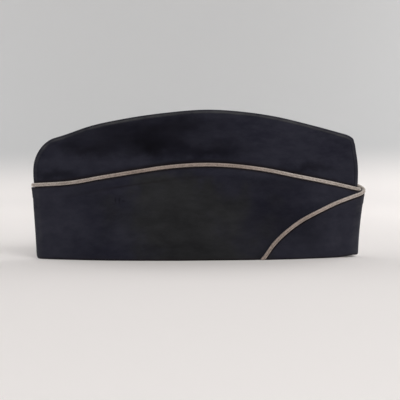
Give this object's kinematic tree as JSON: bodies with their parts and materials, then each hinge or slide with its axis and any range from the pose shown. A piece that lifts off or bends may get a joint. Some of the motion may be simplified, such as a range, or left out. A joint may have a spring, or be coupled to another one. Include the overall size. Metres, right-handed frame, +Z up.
{
  "type": "side cap",
  "caption": "Soft cloth side cap, hollow and open below, with a turned-up curtain that overlaps in front and a piped edge.",
  "frame": {"origin": "middle of the cap's box at the level of the surface that its rim stands on", "axes": "+X is the cap's front, +Y its left side, +Z up"},
  "size_m": [0.295, 0.0714, 0.1285],
  "materials": {
    "crown_cloth": "dark navy wool serge",
    "curtain_cloth": "dark navy wool serge",
    "piping_braid": "grey-beige twisted braid"
  },
  "bodies": {
    "root": {"crown_right": "crown_cloth", "crown_left": "crown_cloth", "curtain_right": "curtain_cloth", "curtain_left": "curtain_cloth", "piping": "piping_braid"}
  },
  "joints": []
}
